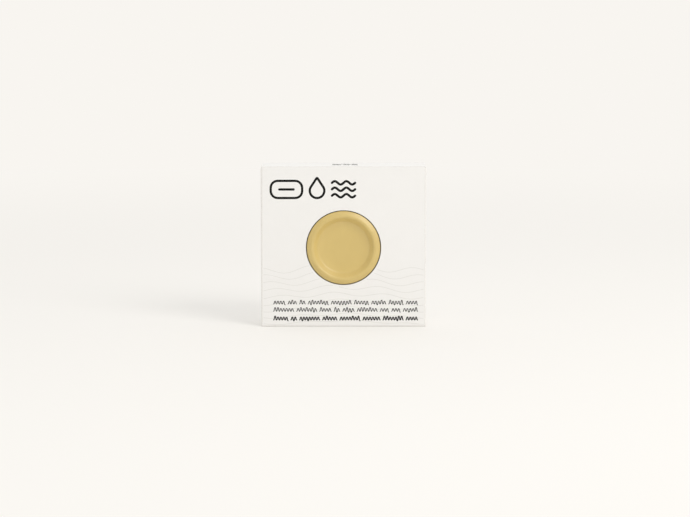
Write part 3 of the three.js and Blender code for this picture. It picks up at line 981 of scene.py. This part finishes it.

# Top flaps and lid
# The dust flaps fold in first, then the lid comes over from the back and its flap tucks in behind
# the front. Each crease is a narrow strip of its own, tied to neither flap.
up = (0, 0, 1)
strip_reach = 1.3 * mm
dust_taper = (2.5 * mm, 12 * mm)
dust_corner = 2 * mm
dust_root_reach = (dust_low.y, dust_high.y)
dust_tip_reach = (dust_low.y + dust_taper[0], dust_high.y - dust_taper[1])
crest = dust_high.z


def dust_reach(x):
    """Where a dust flap's two sides are at a distance from the carton's middle"""
    share = (half_width - abs(x)) / (half_width - dust_low.x)
    return [a + (b - a) * share for a, b in zip(dust_root_reach, dust_tip_reach)]


def hinge_strip(name, node, stations, across, outward):
    """The creased strip between two pieces of board, with its transform worked into its mesh and tied to
    neither body
    """
    piece = panel(name, stations, across, outward, printed_board)
    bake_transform(piece)
    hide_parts(node)


for side, hand in hands:
    edge_x = side * half_width
    root_x = side * (half_width - fold - strip_reach)
    hinge_strip(
        f"dust_crease_{hand}", f"top_dust_flap_{hand}",
        [(x, z, mark, *dust_reach(x)) for x, z, mark in eased([
            (edge_x, flap_notch_top, 0), (edge_x, crest, fold), (root_x, crest, 0),
        ])],
        in_y, (side, 0, 0),
    )
    panel(f"dust_flap_board_{hand}", [(x, crest, 0.0, low, high) for x, low, high in tongue(
        root_x, side * dust_low.x, dust_reach(root_x), dust_tip_reach, dust_corner,
    )], in_y, up, printed_board, f"dust_flap_{hand}", "coated_board", f"top_dust_flap_{hand}")

ink_height = 0.02 * mm
lid_top = lid_high.z - ink_height
lid_rear = back_y - fold - strip_reach
lid_front = lid_low.y + fold + strip_reach
lid_reaches = (-lid_high.x, lid_high.x)
lid_steps = 8
hinge_strip(
    "lid_crease", "top_lid",
    [(*point, *lid_reaches) for point in eased([
        (back_y, back_top, 0), (back_y, lid_top, fold), (lid_rear, lid_top, 0),
    ])],
    in_x, backward,
)
panel("lid_board", [
    (lid_rear + (lid_front - lid_rear) * step / lid_steps, lid_top, 0.0, *lid_reaches)
    for step in range(lid_steps + 1)
], in_x, up, printed_board, "lid", "coated_board", "top_lid")

tuck_low, tuck_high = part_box("top_tuck_flap")
tuck_lean = math.radians(20)
tuck_taper = 2 * mm
tuck_corner = 5 * mm
tuck_spare = 0.2 * mm
tuck_reaches = (-tuck_high.x, tuck_high.x)
tuck_tip_reach = (-tuck_high.x + tuck_taper, tuck_high.x - tuck_taper)
tuck_down = Vector((math.sin(tuck_lean), -math.cos(tuck_lean)))
tuck_bend = arc_points(
    (lid_low.y + fold, lid_top - fold), fold, math.pi / 2, math.pi + tuck_lean, 8,
)
tuck_root = Vector(tuck_bend[-1]) + tuck_down * strip_reach
tuck_length = (tuck_root.y - tuck_low.z) / math.cos(tuck_lean) - tuck_spare
bend_points = [(lid_front, lid_top, 0.0)] + [(*point, 1.0) for point in tuck_bend] + [(*tuck_root, 0.0)]
hinge_strip(
    "tuck_crease", "top_tuck_flap",
    [(y, z, mark, *(lid_reaches if z > lid_low.z else tuck_reaches)) for y, z, mark in bend_points],
    in_x, forward,
)
panel("tuck_flap_board", [
    (*(tuck_root + tuck_down * reach), 0.0, low, high)
    for reach, low, high in tongue(0.0, tuck_length, tuck_reaches, tuck_tip_reach, tuck_corner)
], in_x, forward, printed_board, "tuck_flap", "coated_board", "top_tuck_flap")

# Print
# Black and pale grey ink on the coated side, a hair above the board. There are three plain
# pictograms, scribbled lines in place of words and gentle ripple lines round the window.


def ink_finish(name, specular, roughness, dark, light):
    """Dried ink, a little uneven in colour and gloss"""
    finish = Finish(name, {"Specular IOR Level": specular})
    uneven = finish.clouds(0.6 * mm, 2)
    finish.surface(finish.between(uneven, dark, light), roughness + uneven * 0.1, uneven, 0.002 * mm)
    return finish


ink = ink_finish("black_ink", 0.1, 0.42, (0.006, 0.006, 0.006, 1), (0.012, 0.012, 0.011, 1))
pale_ink = ink_finish("pale_ink", 0.4, 0.48, (0.73, 0.718, 0.69, 1), (0.77, 0.758, 0.73, 1))


def stroke(points, half_width, round_ends=True, steps=4):
    """A line of ink: its points on the board and half its width at each of them. Round ends reach half
    a width past the line's own ends."""
    points = list(points)
    half_widths = [half_width] * len(points)
    for end, inner in ((0, 1), (-1, -2)) if round_ends else ():
        tip = points[end]
        toward = (tip - points[inner]).normalized()
        for step in range(1, steps + 1):
            angle = math.pi / 2 * step / steps
            place = 0 if end == 0 else len(points)
            points.insert(place, tip + toward * half_width * math.sin(angle))
            half_widths.insert(place, half_width * max(math.cos(angle), 0.02))
    return points, half_widths


def laid_ink():
    """A recipe that lays flat lines of ink along edges that carry their half width. Level is how far
    the face lies from the origin along Facing."""
    recipe = Recipe("laid_ink", (
        ("Lines", "Geometry"), ("Facing", "Vector"), ("Level", "Float"), ("Ink height", "Float"),
        ("Finish", "Material"),
    ))
    given = recipe.given
    width = recipe.add("GeometryNodeInputNamedAttribute", {"Name": "half_width"}, {"data_type": "FLOAT"})
    section = recipe.add("GeometryNodeCurvePrimitiveCircle", {"Resolution": 8, "Radius": 1.0})
    swept = recipe.add("GeometryNodeCurveToMesh", {
        "Curve": recipe.add("GeometryNodeMeshToCurve", {"Mesh": given["Lines"]}),
        "Profile Curve": section, "Scale": width, "Fill Caps": True,
    })
    place = recipe.add("GeometryNodeInputPosition")
    above = recipe.number("ShaderNodeVectorMath", {0: place, 1: given["Facing"]}, {
        "operation": "DOT_PRODUCT",
    }, "Value") - given["Level"]
    flat = recipe.number("ShaderNodeClamp", {"Value": above, "Min": 0.0, "Max": given["Ink height"]})
    offset = recipe.add("ShaderNodeVectorMath", {0: given["Facing"], "Scale": flat - above}, {
        "operation": "SCALE",
    })
    recipe.close(recipe.add("GeometryNodeSetPosition", {"Geometry": swept, "Offset": offset}))
    return recipe


ink_laying = laid_ink()


def printed(name, strokes, facing, level, finish, body):
    """Strokes laid as ink on a face of a body"""
    corners = []
    widths = []
    edges = []
    for points, half_widths in strokes:
        start = len(corners)
        corners += [tuple(point) for point in points]
        widths += half_widths
        edges += [(start + step, start + step + 1) for step in range(len(points) - 1)]
    mesh = bpy.data.meshes.new(name)
    mesh.from_pydata(corners, edges, [])
    mesh.attributes.new("half_width", "FLOAT", "POINT").data.foreach_set("value", widths)
    piece = ink_laying.make(name, mesh, {
        "Facing": facing, "Level": level, "Ink height": ink_height, "Finish": finish.material,
    })
    fit(piece, body, "coated_board")


def on_front(x, z):
    return Vector((x, front_y, z))


def on_lid(x, y):
    return Vector((x, y, lid_top))


def wavy(start, length, swing, waves, steps=48):
    """Points of a wavy line on the front"""
    return [
        on_front(
            start[0] + length * step / steps,
            start[1] + swing * math.sin(2 * math.pi * waves * step / steps),
        )
        for step in range(steps + 1)
    ]


def soap_bar(low, width, height, corner):
    """Outline points of a bar with round corners, closed on itself"""
    outline = []
    for quarter, (aside, above) in enumerate(((1, 1), (0, 1), (0, 0), (1, 0))):
        centre = (
            low[0] + corner + aside * (width - 2 * corner), low[1] + corner + above * (height - 2 * corner),
        )
        outline += arc_points(centre, corner, math.pi / 2 * quarter, math.pi / 2 * (quarter + 1), 6)
    return [on_front(*point) for point in outline + outline[:2]]


def droplet(tip, radius, height, tip_radius):
    """Outline points of a drop with a rounded tip, closed on itself"""
    lean = math.asin(radius / (height - radius))
    outline = arc_points(
        (tip[0], tip[1] - tip_radius / math.sin(lean)), tip_radius, math.pi - lean, lean, 6,
    ) + arc_points((tip[0], tip[1] - height + radius), radius, lean, -math.pi - lean, 40)
    return [on_front(*point) for point in outline + outline[:2]]


mark_left = -44.0 * mm
mark_foot = 78.6 * mm
mark_height = 12.4 * mm
mark_stroke = 0.72 * mm
mark_gap = 4.6 * mm
bar_width = 19 * mm
bar_height = 10.4 * mm
bar_corner = 4.2 * mm
bar_line_inset = 5.2 * mm
drop_radius = 4.4 * mm
drop_tip = 0.4 * mm
wave_length = 14 * mm
wave_swing = 1.0 * mm
wave_foot = mark_foot + 1.4 * mm
wave_pitch = 3.9 * mm
wave_count = 3
drop_x = mark_left + bar_width + mark_gap + drop_radius
wave_left = drop_x + drop_radius + mark_gap
bar_line = wavy(
    (mark_left + bar_line_inset, mark_foot + bar_height / 2), bar_width - 2 * bar_line_inset, 0, 1,
)
drop = droplet((drop_x, mark_foot + mark_height), drop_radius, mark_height, drop_tip)
pictograms = [
    stroke(soap_bar((mark_left, mark_foot), bar_width, bar_height, bar_corner), mark_stroke, False),
    stroke(bar_line, mark_stroke),
    stroke(drop, mark_stroke, False),
]
for row in range(wave_count):
    start = (wave_left, wave_foot + row * wave_pitch)
    pictograms.append(stroke(wavy(start, wave_length, wave_swing, 2), mark_stroke))
printed("front_pictograms", pictograms, forward, -front_y, ink, "carton")


hump_shares = (1.0, 1.0, 1.0, 1.35)
dip_shares = (0.0, 0.0, 0.0, 0.0, 0.3)
hump_roundness = 0.55


def scribbled(start, foot, humps, pitch, height, place, source, steps=8):
    """Points of a scribbled line in place of a word: round humps, a few of them taller or hanging"""
    levels = [foot]
    for _ in range(humps):
        levels.append(foot + height * source.choice(hump_shares))
        levels.append(foot - height * source.choice(dip_shares))
    points = []
    for half, (here, there) in enumerate(zip(levels, levels[1:])):
        for step in range(steps):
            turn = math.cos(math.pi * step / steps)
            share = (1 - math.copysign(abs(turn) ** hump_roundness, turn)) / 2
            points.append(place(start + (half + step / steps) * pitch / 2, here + (there - here) * share))
    return points + [place(start + humps * pitch, levels[-1])]


def word_rows(rows, left, right, pitch, height, place, source, humps=(2, 7)):
    """Rows (foot, half width) of scribbled lines from left to right"""
    strokes = []
    for foot, half_width in rows:
        start = left
        while right - start > pitch:
            room = round((right - start) / pitch)
            count = min(source.randint(*humps), room)
            if room - count < humps[0] + 1:
                count = room
            strokes.append(stroke(scribbled(start, foot, count, pitch, height, place, source), half_width))
            start += (count + 1) * pitch
    return strokes


words = random.Random(7)
text_left = -42.5 * mm
text_right = 44.8 * mm
text_pitch = 1.75 * mm
text_height = 1.7 * mm
text_rows = ((13.9 * mm, 0.25 * mm), (9.4 * mm, 0.25 * mm), (4.1 * mm, 0.34 * mm))
front_text = word_rows(text_rows, text_left, text_right, text_pitch, text_height, on_front, words)
printed("front_text_lines", front_text, forward, -front_y, ink, "carton")

lid_text_left = -6.8 * mm
lid_text_right = 8.4 * mm
lid_text_pitch = 1.7 * mm
lid_text_height = 1.8 * mm
lid_rows = ((3.55 * mm, 0.3 * mm), (0.55 * mm, 0.3 * mm), (-2.45 * mm, 0.3 * mm))
lid_text = word_rows(
    lid_rows, lid_text_left, lid_text_right, lid_text_pitch, lid_text_height, on_lid, words,
)
printed("lid_text_lines", lid_text, up, lid_top, ink, "lid")

ripple_count = 9
ripple_pitch = 4.1 * mm
ripple_base = 2.6 * mm
ripple_stroke = 0.13 * mm
ripple_end = half_width - 1.5 * mm
ripple_clear = window_radius + 1.2 * mm
ripple_steps = 150
wave_first = 0.5 * mm
wave_growth = 0.16 * mm
wave_span = 31 * mm
wave_shift = 0.7
swell = 1.1 * mm
swell_span = 97 * mm


def ripple_height(row, x):
    """Height of a ripple line, a short wave that grows row by row over a long gentle one"""
    wave = (wave_first + wave_growth * row) * math.sin(2 * math.pi * x / wave_span + wave_shift * row)
    return ripple_base + row * ripple_pitch + wave + swell * math.cos(2 * math.pi * x / swell_span)


ripples = []
for row in range(ripple_count):
    run = []
    for step in range(ripple_steps + 1):
        x = -ripple_end + 2 * ripple_end * step / ripple_steps
        z = ripple_height(row, x)
        clear = (Vector((x, z)) - window_centre).length > ripple_clear
        if clear:
            run.append(on_front(x, z))
        if run and (not clear or step == ripple_steps):
            ripples.append(stroke(run, ripple_stroke))
            run = []
printed("front_ripples", ripples, forward, -front_y, pale_ink, "carton")

# Studio
# A pale floor that fades into a pale backdrop, a large soft lamp from the front upper right and a
# fill from all round, which is weaker where the camera stands. Lengths here are in metres.
backdrop_colour = (0.940, 0.914, 0.872, 1)
fill_colour = (1.0, 0.995, 0.985, 1)
fill_strength = 0.90
front_fill_strength = 0.42
front_edge = -0.5
front_core = -0.9


def seen_rays(nodes):
    """1 for the rays that show the backdrop: straight ones, mirrored ones and those through glass"""
    path = nodes.add("ShaderNodeLightPath").outputs
    straight = Amount(nodes, path["Is Camera Ray"])
    return straight + path["Is Glossy Ray"] + path["Is Transmission Ray"] > 0.5


world = bpy.data.worlds.new("studio")
world.use_nodes = True
world.node_tree.nodes.clear()
bpy.context.scene.world = world
sky = Nodes(world.node_tree)
sky_direction = sky.add("ShaderNodeTexCoord").outputs["Generated"]
sky_axes = sky.add("ShaderNodeSeparateXYZ", {0: sky_direction})
in_front = sky.steps(sky_axes.outputs["Y"], front_edge, front_core)
around = sky.add("ShaderNodeBackground", {"Color": fill_colour, "Strength": fill_strength})
ahead = sky.add("ShaderNodeBackground", {"Color": fill_colour, "Strength": front_fill_strength})
fill = sky.add("ShaderNodeMixShader", {0: in_front, 1: around, 2: ahead})
shown = sky.add("ShaderNodeBackground", {"Color": backdrop_colour, "Strength": 1.0})
sky_mix = sky.add("ShaderNodeMixShader", {0: seen_rays(sky), 1: fill, 2: shown})
sky.add("ShaderNodeOutputWorld", {"Surface": sky_mix})

floor_finish = Finish("studio_floor", {
    "Base Color": (0.90, 0.884, 0.852, 1), "Roughness": 0.9, "Specular IOR Level": 0.1,
})
floor_half = 6.0
fade_start = 0.25
fade_end = 1.1
fade_least = 0.3
place = floor_finish.add("ShaderNodeTexCoord").outputs["Object"]
distance = floor_finish.number("ShaderNodeVectorMath", {0: place}, {"operation": "LENGTH"}, "Value")
far = floor_finish.steps(distance, fade_start, fade_end)
fade = (far * (1 - fade_least) + fade_least) * seen_rays(floor_finish)
glow = floor_finish.add("ShaderNodeEmission", {"Color": backdrop_colour, "Strength": 1.0})
floor_mix = floor_finish.add("ShaderNodeMixShader", {0: fade, 1: floor_finish.shader, 2: glow})
floor_finish.tree.links.new(floor_mix.outputs[0], floor_finish.output.inputs["Surface"])
floor_mesh = bpy.data.meshes.new("studio_floor")
floor_corners = [(x * floor_half, y * floor_half, 0) for x, y in ((-1, -1), (1, -1), (1, 1), (-1, 1))]
floor_mesh.from_pydata(floor_corners, [], [(0, 1, 2, 3)])
floor_mesh.materials.append(floor_finish.material)
new_piece("studio_floor", floor_mesh)

lamp_place = Vector((1.15, -1.25, 1.25))
carton_middle = Vector((0, 0, carton_top / 2))
key = bpy.data.lights.new("key_lamp", "AREA")
key.shape = "DISK"
key.size = 1.2
key.energy = 16.0
key.color = (1.0, 0.985, 0.96)
key_lamp = new_piece("key_lamp", key)
key_lamp.location = lamp_place
key_lamp.rotation_euler = (carton_middle - lamp_place).to_track_quat("-Z", "Y").to_euler()

camera_side = 0.0009
camera_distance = 1.4442
camera_height = 0.2224
camera_pitch = math.radians(7.13)
lens = bpy.data.cameras.new("camera")
lens.lens = 125.2
lens.sensor_width = 36
camera = new_piece("camera", lens)
camera.location = (camera_side, front_y - camera_distance, camera_height)
camera.rotation_euler = (math.pi / 2 - camera_pitch, 0, 0)
bpy.context.scene.camera = camera
bpy.context.scene.view_settings.view_transform = "Standard"
